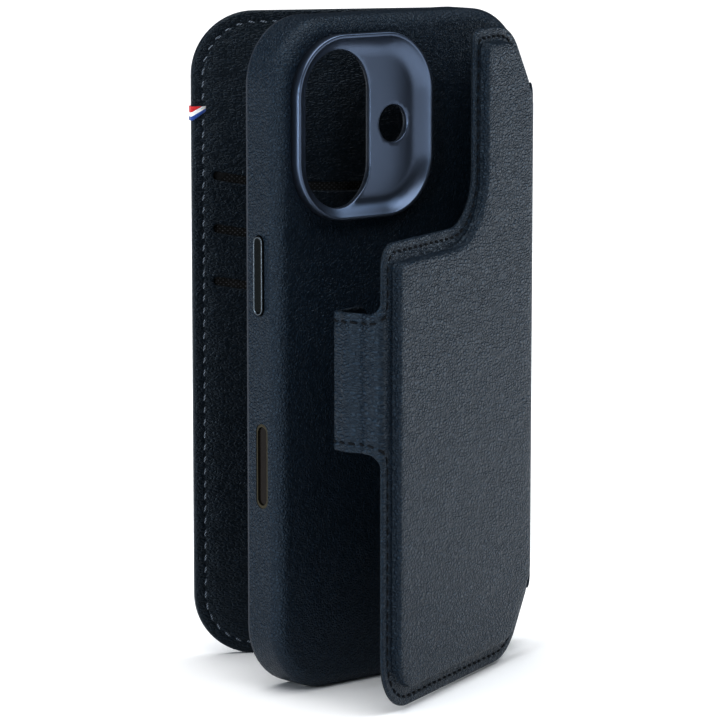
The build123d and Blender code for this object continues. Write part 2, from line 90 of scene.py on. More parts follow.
spine_plane = Plane(FOLD_A, unit(SPINE_ANGLE), unit(SPINE_ANGLE - 90))
cover_plane = Plane(FOLD_B, unit(180 - COVER_ANGLE), unit(90 - COVER_ANGLE))
back_plane = Plane(CASE_BACK * FRONT, RIGHT, -FRONT)
left_plane = Plane(-CASE_HALF_W * RIGHT, FRONT, -RIGHT)
right_plane = Plane(CASE_HALF_W * RIGHT, FRONT, RIGHT)

# The back panel and its closure tab, cut from one piece: the tab leaves the free edge, folds
# towards the case, runs along its side and hooks over its front.
FLAP_W = 78.9
FLAP_MID = -0.1
TAB_LOW = 59.4
TAB_HIGH = 90.6
TAB_FOLD_R = 1.0
TAB_HOOK_R = 1.85
TAB_CORNER = FLAP_W + 0.4
TAB_DEEP = 13.05
HOOK_LONG = 13.0
FOLD_START = TAB_CORNER - TAB_FOLD_R * math.tan(math.radians(TAB_ANGLE / 2))
TAB_SIDE = FOLD_START + TAB_FOLD_R * math.radians(TAB_ANGLE)
HOOK_START = TAB_SIDE + TAB_DEEP - TAB_HOOK_R - (TAB_CORNER - FOLD_START)
HOOK_SIDE = HOOK_START + TAB_HOOK_R * math.pi / 2
TAB_END = HOOK_SIDE + HOOK_LONG - TAB_HOOK_R

# Soft creases down the tab's side: how far past its fold, how wide and how deep
CREASES = ((4.6, 1.5, 0.70), (10.2, 1.3, 0.55))


def flap_path(s):
    """Middle line of the panel and tab in plan, and its heading, at a distance from the fold."""
    runs = (
        (FOLD_START, TAB_SIDE, TAB_FOLD_R),
        (HOOK_START, HOOK_SIDE, TAB_HOOK_R),
    )
    heading = math.radians(180 + FLAP_ANGLE)
    point = (FOLD_A + unit(270 + FLAP_ANGLE) * FLAP_MID)[:2]
    x = np.zeros_like(s) + point[0]
    y = np.zeros_like(s) + point[1]
    angle = np.zeros_like(s) + heading
    at = 0.0
    for start, end, radius in runs:
        run = np.clip(s, at, start) - at
        x += run * math.cos(heading)
        y += run * math.sin(heading)
        turn = (np.clip(s, start, end) - start) / radius
        x += radius * (math.sin(heading) - np.sin(heading - turn))
        y += radius * (np.cos(heading - turn) - math.cos(heading))
        angle -= turn
        heading -= (end - start) / radius
        at = end
    run = np.maximum(s, at) - at
    x += run * math.cos(heading)
    y += run * math.sin(heading)
    return x, y, angle


def flap_plane(flat):
    """Where points of the flat-cut panel and tab are once the tab is folded and creased."""
    s, z, h = flat.T
    x, y, angle = flap_path(s)
    out = h - FLAP_MID
    for middle, width, depth in CREASES:
        out = out - depth * np.exp(-(((s - TAB_SIDE - middle) / width) ** 2))
    return np.column_stack([x - np.sin(angle) * out, y + np.cos(angle) * out, z])


# ---------------------------------------------------------------- mesh making

LEAST_RADIUS = 0.3
MERGE_DISTANCE = 1e-7


def corner_arcs(corners, radii, arc_points):
    """The points of the arc at each corner of a closed outline."""
    corners = [np.array(c, float) for c in corners]
    count = len(corners)
    arcs = []
    for i, (corner, radius) in enumerate(zip(corners, radii)):
        radius = max(radius, LEAST_RADIUS)
        to_last = corners[i - 1] - corner
        to_next = corners[(i + 1) % count] - corner
        to_last = to_last / np.linalg.norm(to_last)
        to_next = to_next / np.linalg.norm(to_next)
        middle = to_last + to_next
        middle = middle / np.linalg.norm(middle)
        half = math.acos(max(-1.0, min(1.0, float(to_last @ middle))))
        centre = corner + middle * radius / math.sin(half)
        a = corner + to_last * radius / math.tan(half) - centre
        b = corner + to_next * radius / math.tan(half) - centre
        sweep = math.pi - 2 * half
        points = []
        for k in range(arc_points + 1):
            t = k / arc_points
            part_a, part_b = math.sin((1 - t) * sweep), math.sin(t * sweep)
            points.append(centre + (a * part_a + b * part_b) / math.sin(sweep))
        arcs.append(points)
    return arcs


def outline(corners, radii, counts, arc_points=12):
    """A closed outline with rounded corners. Equal counts give rings that can be bridged."""
    arcs = corner_arcs(corners, radii, arc_points)
    points = []
    for i, arc in enumerate(arcs):
        points.extend(arc)
        start, end = arc[-1], arcs[(i + 1) % len(arcs)][0]
        for k in range(1, counts[i]):
            points.append(start + (end - start) * k / counts[i])
    return np.array(points)


def box_outline(centre, half, radius, counts, arc_points):
    """Outline of an upright rectangle with equal rounded corners."""
    (x, z), (half_x, half_z) = centre, half
    corners = [(x - half_x, z - half_z), (x + half_x, z - half_z)]
    corners += [(x + half_x, z + half_z), (x - half_x, z + half_z)]
    return outline(corners, [radius] * 4, counts, arc_points)


def inside(points, polygon):
    """Whether each point is inside a closed outline."""
    x, y = points[:, 0][:, None], points[:, 1][:, None]
    x1, y1 = polygon[:, 0], polygon[:, 1]
    x2, y2 = np.roll(x1, -1), np.roll(y1, -1)
    crosses = (y1 > y) != (y2 > y)
    slope = (x2 - x1) * (y - y1) / np.where(y2 == y1, 1e-9, y2 - y1) + x1
    return (crosses & (x < slope)).sum(1) % 2 == 1


class Shape:
    """Collects flat points (s, z, h) and faces, and makes one smooth mesh of them."""

    def __init__(self):
        self.points = []
        self.faces = []

    def ring(self, path, height):
        """One closed row of points, at one height or at a height for each."""
        first = len(self.points)
        height = np.zeros(len(path)) + height
        self.points.extend([p[0], p[1], h] for p, h in zip(path, height))
        return list(range(first, first + len(path)))

    def bridge(self, a, b):
        n = len(a)
        for i in range(n):
            j = (i + 1) % n
            self.faces.append((a[i], a[j], b[j], b[i]))

    def join(self, made):
        for a, b in zip(made, made[1:]):
            self.bridge(a, b)
        return made

    def rings(self, paths, heights):
        """Rings of flat outlines at their heights, joined one to the next."""
        return self.join([self.ring(p, h) for p, h in zip(paths, heights)])

    def tube(self, sections):
        """Rings of points in space, joined one to the next. Gives the two end rings."""
        made = []
        for section in sections:
            first = len(self.points)
            self.points.extend(list(point) for point in section)
            made.append(list(range(first, first + len(section))))
        self.join(made)
        return made[0], made[-1]

    def capped_tube(self, sections):
        for end in self.tube(sections):
            self.faces.append(tuple(end))

    def flat(self, ring):
        return np.array([self.points[i][:2] for i in ring])

    def fill(self, outer, holes=(), loose=(), height=0.0, gap=0.5):
        """Triangles from an outer ring to the rings inside it, through loose points between them."""
        index = list(outer)
        edges = [(i, (i + 1) % len(outer)) for i in range(len(outer))]
        for hole in holes:
            base, count = len(index), len(hole)
            index.extend(hole)
            edges.extend((base + i, base + (i + 1) % count) for i in range(count))
        edge_points = np.array([self.points[i][:2] for i in index])
        if len(loose):
            loose = np.asarray(loose, float)
            keep = inside(loose, self.flat(outer))
            for hole in holes:
                keep &= ~inside(loose, self.flat(hole))
            loose = loose[keep]
            near = np.array([np.min(np.sum((edge_points - p) ** 2, axis=1)) for p in loose])
            loose = loose[near > gap * gap]
            index.extend(self.ring(loose, height(loose) if callable(height) else height))
        flat = [Vector(self.points[i][:2]) for i in index]
        made = delaunay_2d_cdt(flat, edges, [], 1, 1e-6)
        source = [index[o[0]] if o else None for o in made[3]]
        crossings = [tuple(made[0][i]) for i, o in enumerate(made[3]) if not o]
        if crossings:
            raise ValueError(f"outlines cross at {crossings[:9]}")
        triangles = [tuple(source[v] for v in face) for face in made[2]]
        corners = [[self.points[v][:2] for v in t] for t in triangles]
        centres = np.array([np.mean(c, axis=0) for c in corners])
        keep = inside(centres, self.flat(outer))
        for hole in holes:
            keep &= ~inside(centres, self.flat(hole))
        self.faces.extend(t for t, k in zip(triangles, keep) if k)

    def make(self, name, place, material):
        """The object, whose grain attribute keeps where each point was on the flat piece."""
        flat = np.array(self.points)
        mesh = bpy.data.meshes.new(name)
        mesh.from_pydata((place(flat) * MM).tolist(), [], self.faces)
        grain = mesh.attributes.new("grain", "FLOAT_VECTOR", "POINT")
        grain.data.foreach_set("vector", (flat * MM).astype(np.float32).ravel())
        work = bmesh.new()
        work.from_mesh(mesh)
        bmesh.ops.remove_doubles(work, verts=work.verts, dist=MERGE_DISTANCE)
        bmesh.ops.recalc_face_normals(work, faces=work.faces)
        for face in work.faces:
            face.smooth = True
        work.to_mesh(mesh)
        work.free()
        obj = bpy.data.objects.new(name, mesh)
        scene.collection.objects.link(obj)
        mesh.materials.append(material)
        return obj


def grid(low, high, step, across=None):
    """Loose points in offset rows, to carry triangles across a wide face."""
    across = across or step
    s = np.arange(low[0], high[0], across)
    z = np.arange(low[1], high[1], step)
    return np.array([(a + (i % 2) * across / 2, b) for i, b in enumerate(z) for a in s])


LOOK_AHEAD = 0.3


def along(path, pitch):
    """Evenly spaced points on a closed path, with the path's direction at each."""
    path = np.vstack([path, path[:1]])
    steps = np.linalg.norm(np.diff(path, axis=0), axis=1)
    keep = np.concatenate([[True], steps > 1e-6])
    path = path[keep]
    steps = np.linalg.norm(np.diff(path, axis=0), axis=1)
    reach = np.concatenate([[0], np.cumsum(steps)])
    count = max(1, round(reach[-1] / pitch))

    def at(distance):
        return np.array([np.interp(distance, reach, path[:, k]) for k in range(2)])

    made = []
    for middle in (np.arange(count) + 0.5) * reach[-1] / count:
        ahead = at(min(middle + LOOK_AHEAD, reach[-1]))
        behind = at(max(middle - LOOK_AHEAD, 0))
        made.append((at(middle), (ahead - behind) / np.linalg.norm(ahead - behind)))
    return made


STITCH_LENGTH = 2.0
STITCH_RADIUS = 0.27
STITCH_DIVE = 0.26
STITCH_FLAT = 0.85
STITCH_TURNS = 8
STITCH_ROWS = 9


def stitches(name, seam, height, side, place, material, slant=9.0):
    """Slanted stitches that dive into the leather at both ends, no two quite alike."""
    shape = Shape()
    for p, d in seam:
        tilt = math.radians(slant + random.uniform(-2.5, 2.5))
        c, s = math.cos(tilt), math.sin(tilt)
        d = np.array([d[0] * c - d[1] * s, d[0] * s + d[1] * c])
        n = np.array([-d[1], d[0]])
        half = STITCH_LENGTH / 2 * random.uniform(0.96, 1.04)
        sections = []
        for row in range(STITCH_ROWS):
            t = -1 + 2 * row / (STITCH_ROWS - 1)
            wide = STITCH_RADIUS * max(0.12, 1 - t**4) ** 0.5
            section = []
            for k in range(STITCH_TURNS):
                a = 2 * math.pi * k / STITCH_TURNS
                q = p + d * half * t + n * wide * math.cos(a)
                lift = wide * math.sin(a) * STITCH_FLAT - STITCH_DIVE * t * t
                section.append([q[0], q[1], height + side * lift])
            sections.append(section)
        shape.capped_tube(sections)
    return shape.make(name, place, material)


# ---------------------------------------------------------------- materials


class Finish:
    """One procedural material, with a short way to add nodes."""

    def __init__(self, name, roughness=0.5, metallic=0.0, **sockets):
        self.material = bpy.data.materials.new(name)
        self.material.use_nodes = True
        self.tree = self.material.node_tree
        self.shader = self.tree.nodes["Principled BSDF"]
        self.shader.inputs["Roughness"].default_value = roughness
        self.shader.inputs["Metallic"].default_value = metallic
        for key, value in sockets.items():
            self.shader.inputs[key.replace("_", " ")].default_value = value

    def add(self, kind, inputs=(), **facts):
        node = self.tree.nodes.new(kind)
        for key, value in facts.items():
            setattr(node, key, value)
        for key, value in dict(inputs).items():
            if isinstance(value, bpy.types.NodeSocket):
                self.tree.links.new(value, node.inputs[key])
            else:
                node.inputs[key].default_value = value
        return node

    def place(self, own, across=1.0):
        """Where a point is on the cut leather, or in the object."""
        if own:
            flat = self.add("ShaderNodeAttribute", attribute_name="grain").outputs["Vector"]
            if across == 1.0:
                return flat
            stretch = {0: flat, 1: (across, 1.0, 1.0)}
            return self.add("ShaderNodeVectorMath", stretch, operation="MULTIPLY").outputs[0]
        return self.add("ShaderNodeTexCoord").outputs["Object"]

    def noise(self, vector, scale, detail=3.0, roughness=0.5):
        facts = {"Vector": vector, "Scale": scale, "Detail": detail, "Roughness": roughness}
        return self.add("ShaderNodeTexNoise", facts).outputs["Fac"]

    def wave(self, vector, scale, direction, distortion=0.0):
        facts = {"Vector": vector, "Scale": scale, "Distortion": distortion}
        return self.add("ShaderNodeTexWave", facts, bands_direction=direction).outputs["Fac"]

    def ramp(self, value, low, high, out_low=0.0, out_high=1.0):
        facts = {"Value": value, "From Min": low, "From Max": high}
        facts.update({"To Min": out_low, "To Max": out_high})
        return self.add("ShaderNodeMapRange", facts).outputs["Result"]

    def math(self, operation, a, b):
        node = self.add("ShaderNodeMath", {0: a, 1: b}, operation=operation)
        return node.outputs[0]

    def mix(self, factor, a, b):
        node = self.add("ShaderNodeMix", {"Factor": factor}, data_type="RGBA")
        for socket, value in ((node.inputs[6], a), (node.inputs[7], b)):
            if isinstance(value, bpy.types.NodeSocket):
                self.tree.links.new(value, socket)
            else:
                socket.default_value = (*value, 1.0)
        return node.outputs[2]

    def colour(self, socket):
        self.tree.links.new(socket, self.shader.inputs["Base Color"])

    def rough(self, socket):
        self.tree.links.new(socket, self.shader.inputs["Roughness"])

    def bump(self, height, depth):
        """Relief of a real depth in millimetres."""
        facts = {"Height": height, "Distance": depth * MM, "Strength": 1.0}
        node = self.add("ShaderNodeBump", facts)
        self.tree.links.new(node.outputs["Normal"], self.shader.inputs["Normal"])


def leather(name, light, dark, own, cell=0.75, depth=0.26):
    """Pebbled leather: cells of one size, wrinkles over them, fine pores and slow tones. Its colour
    is darker where the cells and wrinkles sit low, partly the leather's own grain tone and partly
    painted shade of its relief.
    """
    f = Finish(name, IOR=1.40, Specular_Tint=(0.80, 0.91, 1.0, 1.0))
    at = f.place(own, 0.55)
    warp = f.add("ShaderNodeTexNoise", {"Vector": at, "Scale": 500.0, "Detail": 2.0})
    shifted = f.add("ShaderNodeVectorMath", {0: warp.outputs["Color"]}, operation="SCALE")
    shifted.inputs["Scale"].default_value = 0.9 * cell * MM
    moved = f.add("ShaderNodeVectorMath", {0: at, 1: shifted.outputs[0]}, operation="ADD").outputs[0]
    cells = f.add(
        "ShaderNodeTexVoronoi",
        {"Vector": moved, "Scale": 1 / (cell * MM)},
        feature="DISTANCE_TO_EDGE",
    )
    pebble = f.ramp(cells.outputs["Distance"], 0.0, 0.28)
    pores = f.noise(at, 3600.0, 3.0, 0.6)
    wrinkles = f.noise(moved, 900.0, 3.0, 0.6)
    slow = f.noise(at, 45.0, 4.0, 0.55)
    height = f.math("ADD", f.math("MULTIPLY", pebble, 0.5), f.math("MULTIPLY", pores, 0.2))
    height = f.math("ADD", height, f.math("MULTIPLY", wrinkles, 1.2))
    # Painted shade in part: the colour follows the relief, darker in the low parts of the cells and
    # wrinkles, with a slow random tone over it
    tone = f.math("ADD", f.math("MULTIPLY", slow, 0.15), f.math("MULTIPLY", pebble, 0.4))
    tone = f.math("ADD", tone, f.math("MULTIPLY", wrinkles, 0.45))
    dull = f.math("ADD", pores, f.math("MULTIPLY", wrinkles, 0.6))
    f.colour(f.mix(f.ramp(tone, 0.4, 0.8), dark, light))
    f.rough(f.ramp(dull, 0.5, 1.1, 0.42, 0.29))
    f.bump(height, depth)
    return f.material


def plastic(name, light, dark, rough=(0.4, 0.5), grain=2600.0, depth=0.006, **sockets):
    """A smooth moulded or metal finish with a fine grain and slow changes of tone."""
    f = Finish(name, **sockets)
    at = f.place(False)
    fine = f.noise(at, grain, 2.0)
    slow = f.noise(at, 30.0, 3.0)
    f.colour(f.mix(f.ramp(slow, 0.3, 0.7), dark, light))
    f.rough(f.ramp(fine, 0.3, 0.7, rough[0], rough[1]))
    f.bump(fine, depth)
    return f.material


def cloth(name, light, dark, scale, depth, crossing="MAXIMUM", **sockets):
    """Two crossing sets of threads, on the slant."""
    f = Finish(name, **sockets)
    at = f.place(False)
    slant = {"Vector": at, "Angle": math.radians(45.0)}
    turned = f.add("ShaderNodeVectorRotate", slant, rotation_type="Y_AXIS").outputs[0]
    weave = f.math(crossing, f.wave(turned, scale, "X", 0.4), f.wave(turned, scale, "Z", 0.4))
    fuzz = f.noise(at, 4000.0, 3.0)
    height = f.math("ADD", weave, f.math("MULTIPLY", fuzz, 0.3))
    f.colour(f.mix(f.ramp(height, 0.5, 1.2), dark, light))
    f.rough(f.ramp(fuzz, 0.3, 0.7, 0.75, 0.9))
    f.bump(height, depth)
    return f.material


NAVY = (0.015, 0.030, 0.049)
# The darker navy goes in the low parts of the grain: partly its own tone there, partly painted shade
NAVY_DARK_TONE_AND_SHADE = (0.007, 0.014, 0.024)
outer_leather = leather("outer_leather", NAVY, NAVY_DARK_TONE_AND_SHADE, True)
case_skin = leather("case_skin", NAVY, NAVY_DARK_TONE_AND_SHADE, False)
inner_leather = leather(
    "inner_leather", (0.008, 0.015, 0.025), (0.004, 0.008, 0.013), True, cell=0.6, depth=0.20
)
shell_plastic = plastic("shell_plastic", (0.030, 0.037, 0.050), (0.022, 0.028, 0.040))
microfibre = cloth(
    "microfibre", (0.020, 0.024, 0.034), (0.012, 0.015, 0.022), 700.0, 0.02, Sheen_Weight=0.3
)
magnet_metal = plastic(
    "magnet_metal", (0.55, 0.55, 0.54), (0.45, 0.45, 0.45), (0.25, 0.4), metallic=1.0
)
ring_metal = plastic(
    "ring_metal",
    (0.130, 0.165, 0.230),
    (0.115, 0.147, 0.205),
    (0.28, 0.36),
    grain=5000.0,
    depth=0.004,
    metallic=0.9,
)


def key_finish(name, proud):
    """A dark key with a polished edge round its sunk face."""
    f = Finish(name, metallic=1.0)
    at = f.place(True)
    height = f.add("ShaderNodeSeparateXYZ", {"Vector": at}).outputs["Z"]
    edge = f.ramp(height, (proud - 0.10) * MM, (proud - 0.03) * MM)
    fine = f.noise(at, 4000.0, 2.0)
    face = f.mix(fine, (0.010, 0.013, 0.014), (0.015, 0.019, 0.020))
    f.colour(f.mix(edge, face, (0.13, 0.15, 0.17)))
    f.rough(f.ramp(fine, 0.3, 0.7, 0.24, 0.34))
    f.bump(fine, 0.002)
    return f.material


LEFT_PROUD = 0.5
RIGHT_PROUD = 0.25
left_key = key_finish("left_key", LEFT_PROUD)
right_key = key_finish("right_key", RIGHT_PROUD)
pad_metal = plastic("pad_metal", (0.07, 0.064, 0.045), (0.055, 0.05, 0.036), (0.3, 0.4), metallic=0.9)
pad_glass = plastic(
    "pad_glass",
    (0.016, 0.012, 0.010),
    (0.010, 0.008, 0.007),
    (0.12, 0.2),
    grain=2000.0,
    depth=0.001,
    IOR=1.25,
)
board_card = plastic(
    "board_card", (0.012, 0.012, 0.013), (0.008, 0.008, 0.009), (0.7, 0.9), grain=1500.0, depth=0.03
)
steel = plastic("steel", (0.5, 0.5, 0.5), (0.42, 0.42, 0.42), (0.3, 0.45), metallic=1.0)
# Painted glints: the light colour shows only where the threads cross, over a near-black ground
mesh_cloth_painted_glints = cloth(
    "mesh_cloth_painted_glints", (0.09, 0.09, 0.10), (0.001, 0.001, 0.001), 420.0, 0.10, crossing="MULTIPLY"
)


def thread(name, light, dark):
    """Twisted thread: its plies run slanting across it."""
    f = Finish(name, roughness=0.7, IOR=1.3)
    wave = f.wave(f.place(True), 900.0, "DIAGONAL", 1.0)
    f.colour(f.mix(wave, dark, light))
    f.bump(wave, 0.05)
    return f.material


flap_thread = thread("flap_thread", (0.006, 0.009, 0.014), (0.001, 0.002, 0.004))
# The cover thread is dark; its light slanting plies are painted glints
cover_thread_painted_glints = thread("cover_thread_painted_glints", (0.20, 0.225, 0.26), (0.03, 0.04, 0.055))

# The tag's lower and upper edges, and where the middle of its bands crosses the cover's edge
TAG_LOW = 127.75
TAG_HIGH = 131.05
BAND_SLOPE = 0.55
BAND_S, BAND_Z = 77.1, 129.2


def ribbon():
    """Woven tag in slanting bands."""
    f = Finish("ribbon", roughness=0.75, Sheen_Weight=0.3)
    at = f.place(True)
    parts = f.add("ShaderNodeSeparateXYZ", {"Vector": at})
    slope = f.math("ADD", parts.outputs["Y"], f.math("MULTIPLY", parts.outputs["X"], BAND_SLOPE))
    middle = (BAND_Z + BAND_SLOPE * BAND_S) * MM
    white = f.ramp(slope, middle - 0.60 * MM, middle - 0.55 * MM)
    red = f.ramp(slope, middle + 0.40 * MM, middle + 0.45 * MM)
    weave = f.noise(at, 4000.0, 2.0)
    colour = f.mix(white, (0.02, 0.08, 0.32), (0.80, 0.80, 0.80))
    colour = f.mix(red, colour, (0.55, 0.018, 0.024))
    f.colour(f.mix(f.ramp(weave, 0.2, 0.8, 0.0, 0.25), colour, (0.02, 0.02, 0.03)))
    f.bump(f.wave(at, 1100.0, "Y"), 0.04)
    return f.material


tag_cloth = ribbon()

for name, finish in {
    "case_leather": case_skin,
    "case_shell": shell_plastic,
    "case_lining": microfibre,
    "case_magnets": magnet_metal,
    "case_align_magnet": magnet_metal,
    "camera_ring": ring_metal,
    "power_button": left_key,
    "camera_pad_frame": pad_metal,
    "camera_control_pad": pad_glass,
    "action_button": right_key,
    "volume_up_button": right_key,
    "volume_down_button": right_key,
    "flap_leather": outer_leather,
    "flap_board": board_card,
    "flap_lining": inner_leather,
    "flap_magnets": magnet_metal,
    "flap_align_magnet": magnet_metal,
    "flap_stitching": flap_thread,
    "spine_leather": outer_leather,
    "spine_board": board_card,
    "spine_lining": inner_leather,
    "cover_leather": outer_leather,
    "cover_board": board_card,
    "cover_plate": steel,
    "cover_inner_leather": inner_leather,
    "pocket_mesh_low": mesh_cloth_painted_glints,
    "pocket_mesh_middle": mesh_cloth_painted_glints,
    "pocket_mesh_high": mesh_cloth_painted_glints,
    "cover_stitching": cover_thread_painted_glints,
    "ribbon_tag": tag_cloth,
    "tab_leather": outer_leather,
    "tab_lining": inner_leather,
    "tab_magnet": magnet_metal,
}.items():
    for holder in nodes[name].material_slots:
        holder.material = finish

# ---------------------------------------------------------------- back panel and closure tab

FLAP_LOW = 0.8
FLAP_TOP = 150.2
STRIP_W = 32.1
STEP_Z = 106.1
HINGE = 0.45
FOLD_R = 0.7
FOLD_HOLD = 0.64
LEAST_START = 0.15

# The sloping corners at the ends of the fold: where they start, and how far they reach
HEEL_START, HEEL_W, HEEL_H = 0.5, 11.5, 14.7


def hinge_start(height):
    """How close to the fold's axis a face of this height still ends inside the fold."""
    return math.sqrt(max(FOLD_HOLD**2 - height**2, LEAST_START**2))


def heel(inset, start):
    """How far a sloping corner reaches up the fold side and along the end, when pulled in."""
    slope = math.hypot(HEEL_W, HEEL_H)
    up = HEEL_H + (inset * slope - HEEL_H * (start - HEEL_START)) / HEEL_W
    return up, HEEL_START + HEEL_W + inset * (slope - HEEL_W) / HEEL_H


def flap_corners(inset, strip_inset, start, tab):
    """Corners of the stepped panel, and their radii, pulled in from its edges."""
    left, low = FLAP_W - inset, FLAP_LOW + inset
    step, strip = STEP_Z - inset, STRIP_W - strip_inset
    low_up, low_along = heel(inset, start)
    high_up, high_along = heel(strip_inset, start)
    high = FLAP_TOP - strip_inset
    # From the fold's lower end round by the free edge. Radii shrink at outer corners and grow at
    # inner ones; counts divide the straight runs.
    corners = [(start, FLAP_LOW + low_up), (low_along, low), (left, low)]
    corners += [(left, step), (strip, step), (strip, high)]
    corners += [(high_along, high), (start, FLAP_TOP - high_up)]
    radii = [8.0 - 0.9 * inset, 14.0 - inset, 12.5 - inset]
    radii += [5.0 - 0.7 * inset, 12.0 + inset, 2.8 - 0.2 * strip_inset]
    radii += [14.0 - strip_inset, 8.0 - 0.9 * strip_inset]
    counts = [4, 34, 50, 22, 22, 8, 4, 64]
    if tab:
        # The free edge is interrupted by the tab's four corners
        end, bottom, top = TAB_END - inset, TAB_LOW + inset, TAB_HIGH - inset
        corners[3:3] = [(left, bottom), (end, bottom), (end, top), (left, top)]
        radii[3:3] = [3.0 + inset, 4.0 - inset, 4.0 - inset, 3.0 + inset]
        counts = [4, 34, 30, 60, 12, 60, 8, 22, 22, 8, 4, 64]
    return corners, radii, counts


def flap_ring(inset, strip_inset=None, start=HINGE, tab=False):
    if strip_inset is None:
        strip_inset = inset
    return outline(*flap_corners(inset, strip_inset, start, tab))


# Profiles are pairs of how far in from the edge and how high
EDGE = ((0.0, 0.0), (0.0, 0.16), (0.04, 0.30), (0.13, 0.43), (0.28, 0.51), (0.5, 0.55), (1.2, 0.58))
SEAM = ((1.55, 0.57), (1.8, 0.47), (2.1, 0.40), (2.4, 0.47), (2.65, 0.57))
SEAM_INSET = 2.1
FACE_H = 0.6
FIELD_H = 2.58


def edge_rings(shape, side):
    """From the middle of the thickness round the edge and over the seam's groove."""
    profile = EDGE + SEAM
    heights = [FLAP_MID + side * h for i, h in profile]
    # A small step each, so that no two rings meet inside the fold
    starts = [hinge_start(h) + 0.01 * k for k, h in enumerate(heights)]
    paths = [flap_ring(i, start=s, tab=True) for (i, _), s in zip(profile, starts)]
    return shape.rings(paths, heights)


tab_points = grid((FLAP_W - 4, TAB_LOW), (TAB_END, TAB_HIGH), 1.6, 0.45)

# Outer face: edge, seam groove, then the padded field that rises over the board and magnets
FIELD = ((3.95, FACE_H), (4.12, FACE_H), (4.25, 0.66), (4.38, 0.85), (4.44, 1.20), (4.50, 1.75))
FIELD += ((4.62, 2.10), (4.85, 2.34), (5.2, 2.47), (5.8, 2.54), (7.5, FIELD_H))
FIELD_HINGE = (0.82, 0.84, 0.88, 1.0, 1.3, 1.9, 2.6, 3.3, 4.2, 5.6, 8.0)
STRIP_PULL = 1.1
outer = Shape()
edge = edge_rings(outer, 1)
field = outer.rings(
    [flap_ring(i, i - STRIP_PULL, start=s) for (i, h), s in zip(FIELD, FIELD_HINGE)],
    [FLAP_MID + h for i, h in FIELD],
)
outer.fill(edge[-1], [field[0]], tab_points, FLAP_MID + FACE_H)

# Slow swells: across, up, how wide and how tall
SWELL_RANGES = ((5, 75), (5, 145), (14, 26), (-0.05, 0.05))
swell = random.Random(3)
swells = [[swell.uniform(*limits) for limits in SWELL_RANGES] for _ in range(16)]


def field_height(p):
    """The field is nearly flat, with the slow swells of glued leather."""
    h = np.zeros(len(p)) + FLAP_MID + FIELD_H
    for s, z, wide, tall in swells:
        h += tall * np.exp(-((p[:, 0] - s) ** 2 + (p[:, 1] - z) ** 2) / wide**2)
    return h


outer.fill(field[-1], [], grid((5, 3), (76, 150), 2.4), field_height, 1.2)
outer.fill(edge[0], [], tab_points, FLAP_MID)
flap_outer = outer.make("flap_and_tab_leather", flap_plane, outer_leather)

inner = Shape()
edge = edge_rings(inner, -1)
inner.fill(edge[-1], [], np.vstack([tab_points, grid((3, 5), (73, 148), 6)]), FLAP_MID - FACE_H)
inner.fill(edge[0], [], tab_points, FLAP_MID)
flap_inner = inner.make("flap_and_tab_lining", flap_plane, inner_leather)

# Both seams stop short of the fold, and the tab's runs on a little way round its hook
FLAP_PITCH = 2.7
THREAD_H = 0.52
seam = along(flap_ring(SEAM_INSET, tab=True), FLAP_PITCH)
seam = [(p, d) for p, d in seam if 6.5 < p[0] < HOOK_SIDE + 8]
flap_seam_out = stitches(
    "flap_stitches_outer", seam, FLAP_MID + THREAD_H, 1, flap_plane, flap_thread
)
flap_seam_in = stitches(
    "flap_stitches_inner", seam, FLAP_MID - THREAD_H, -1, flap_plane, flap_thread
)

# The tab keeps its length while its fold opens. A point on that fold, and the four pieces fixed where
# they stand.
fold = flap_plane(np.array([[FOLD_START + 0.9, 75.0, FLAP_MID]]))[0]
for piece in (flap_outer, flap_inner, flap_seam_out, flap_seam_in):
    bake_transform(piece)
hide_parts("flap_leather", "tab_leather")
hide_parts("flap_lining", "tab_lining")
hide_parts("flap_stitching")

# ---------------------------------------------------------------- folds and spine

FOLD_LOW = 15.0
FOLD_HIGH = 136.0
SPINE_CORE = 0.1


def fold_bead(name, centre, body, material):
    """A round leather fold with soft ends."""
    shape = Shape()
    ends = ((0.0, 0.16), (0.25, 0.32), (0.8, 0.46), (1.6, 0.60), (2.8, FOLD_R))
    rows = [(FOLD_LOW + z, radius) for z, radius in ends]
    rows += [(z, FOLD_R) for z in np.linspace(FOLD_LOW + 5, FOLD_HIGH - 5, 40)]
    rows += [(FOLD_HIGH - z, radius) for z, radius in reversed(ends)]
    turns = [2 * math.pi * k / 28 for k in range(28)]
    shape.capped_tube(
        [(radius * math.cos(a), z, radius * math.sin(a)) for a in turns] for z, radius in rows
    )
    plane = Plane(centre, unit(0), unit(90))
    obj = shape.make(name, plane, material)
    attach(obj, body)


fold_bead("flap_fold", FOLD_A, "back_panel", outer_leather)
fold_bead("cover_fold", FOLD_B, "front_cover", outer_leather)


def spine_strip(name, side, node, material):
    """One face of the spine: a strip with a soft crown, hollowed where it meets the folds."""
    shape = Shape()
    low, high = FOLD_LOW + 0.5, FOLD_HIGH - 0.5
    reach = FOLD_R + 0.15
    crown = 0.5
    profile = [(0.0, 0.0), (0.0, 0.16), (0.08, 0.29), (0.25, 0.37)]
    profile += [(0.7, 0.41), (2.5, 0.46), (4.0, crown)]
    paths = []
    for inset, h in profile:
        hollow = reach**2 - min(SPINE_CORE + h, reach) ** 2
        ends = math.sqrt(max(hollow, 0.0)) + inset + 0.02
        corners = [(ends, low + inset), (SPINE_W - ends, low + inset)]
        corners += [(SPINE_W - ends, high - inset), (ends, high - inset)]
        paths.append(outline(corners, [1.6 - min(inset, 1.0)] * 4, [8, 60, 8, 60], 8))
    rings = shape.rings(paths, [side * (SPINE_CORE + h) for i, h in profile])
    loose = grid((3, 17), (11, 134), 3)
    shape.fill(rings[0], [], loose, side * SPINE_CORE)
    shape.fill(rings[-1], [], loose, side * (SPINE_CORE + crown))
    obj = shape.make(name, spine_plane, material)
    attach(obj, "spine")
    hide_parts(node)


